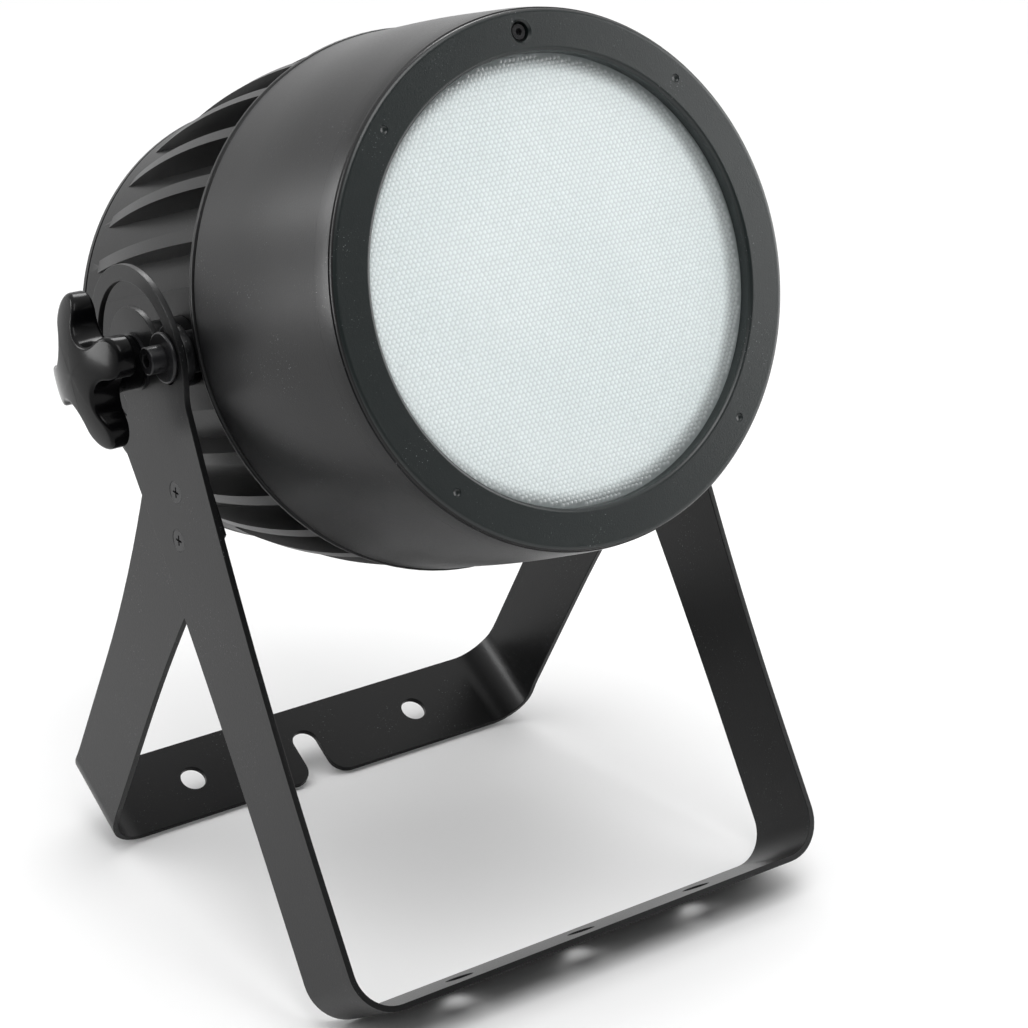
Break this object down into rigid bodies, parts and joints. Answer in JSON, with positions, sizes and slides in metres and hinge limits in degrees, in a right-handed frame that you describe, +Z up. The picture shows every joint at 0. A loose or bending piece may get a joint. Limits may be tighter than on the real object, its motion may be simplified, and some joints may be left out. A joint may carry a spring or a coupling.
{
  "type": "par can light",
  "caption": "Round finned lamp head with a pebbled lens, tilting between two nested U brackets that stand on splayed foot bars and clamped by a star knob at each side.",
  "frame": {"origin": "on the floor, under the middle of the whole light", "axes": "+Z up, the lens faces -Y and tilts up from it, X along the tilt pivot"},
  "size_m": [0.3436, 0.3289, 0.4566],
  "materials": {
    "bracket_paint": "satin black powder coat",
    "housing_paint": "satin black powder coat on cast aluminium",
    "ring_paint": "dark satin coat",
    "black_steel": "black oxide",
    "zinc_steel": "zinc plated",
    "seal_rubber": "matt",
    "lens_glass": "clear, pebbled face",
    "diffuser_white": "frosted sheet",
    "reflector_metal": "bright spun",
    "led_ceramic": "phosphor on a ceramic board",
    "white_plastic": "matt",
    "driver_case": "potted block",
    "circuit_board": "solder mask",
    "display_plastic": "gloss",
    "blue_plastic": "satin",
    "grey_plastic": "satin",
    "black_plastic": "satin",
    "knob_plastic": "gloss black",
    "button_rubber": "matt"
  },
  "bodies": {
    "stand": {"front_bracket": "bracket_paint", "rear_bracket": "bracket_paint", "bracket_screws": "black_steel", "clinch_nuts": "zinc_steel"},
    "head": {"heat_sink": "housing_paint", "front_housing": "housing_paint", "housing_seal": "seal_rubber", "housing_screws": "zinc_steel", "front_ring": "ring_paint", "ring_lock_screw": "black_steel", "lens": "lens_glass", "diffuser": "diffuser_white", "lens_gasket": "seal_rubber", "reflector": "reflector_metal", "led_module": "led_ceramic", "led_holder": "white_plastic", "power_supply": "driver_case", "driver_board": "circuit_board", "control_board": "circuit_board", "rear_gasket": "seal_rubber", "rear_cover": "housing_paint", "cover_screws": "zinc_steel", "display_window": "display_plastic", "power_inlet": "blue_plastic", "power_outlet": "grey_plastic", "data_input": "black_plastic", "data_output": "black_plastic", "vent_plug": "black_plastic", "safety_loop": "zinc_steel", "pivot_bosses": "housing_paint", "tilt_washers": "black_plastic", "guide_spacers": "housing_paint", "guide_washers": "black_steel", "guide_screws": "black_steel"},
    "knob_left": {"knob_left": "knob_plastic", "knob_stud_left": "zinc_steel", "knob_washer_left": "black_steel"},
    "knob_right": {"knob_right": "knob_plastic", "knob_stud_right": "zinc_steel", "knob_washer_right": "black_steel"},
    "button_mode": {"button_mode": "button_rubber"},
    "button_up": {"button_up": "button_rubber"},
    "button_down": {"button_down": "button_rubber"},
    "button_enter": {"button_enter": "button_rubber"}
  },
  "joints": [
    {"name": "head_tilt", "type": "hinge", "parent": "stand", "child": "head", "pos_m": [0, 0.025, 0.29231], "axis": [-1, 0, 0], "range_deg": [-12.2, 217.8]},
    {"name": "knob_left_turn", "type": "hinge", "parent": "head", "child": "knob_left", "pos_m": [-0.1581, 0.025, 0.29231], "axis": [-1, 0, 0], "range_deg": [0, 540]},
    {"name": "knob_right_turn", "type": "hinge", "parent": "head", "child": "knob_right", "pos_m": [0.1581, 0.025, 0.29231], "axis": [1, 0, 0], "range_deg": [0, 540]},
    {"name": "button_mode_press", "type": "slide", "parent": "head", "child": "button_mode", "axis": [0, -0.95, 0.3123], "range_m": [0, 0.0012], "stiffness_N_per_m": 500, "springref_m": -0.0006},
    {"name": "button_up_press", "type": "slide", "parent": "head", "child": "button_up", "axis": [0, -0.95, 0.3123], "range_m": [0, 0.0012], "stiffness_N_per_m": 500, "springref_m": -0.0006},
    {"name": "button_down_press", "type": "slide", "parent": "head", "child": "button_down", "axis": [0, -0.95, 0.3123], "range_m": [0, 0.0012], "stiffness_N_per_m": 500, "springref_m": -0.0006},
    {"name": "button_enter_press", "type": "slide", "parent": "head", "child": "button_enter", "axis": [0, -0.95, 0.3123], "range_m": [0, 0.0012], "stiffness_N_per_m": 500, "springref_m": -0.0006}
  ]
}
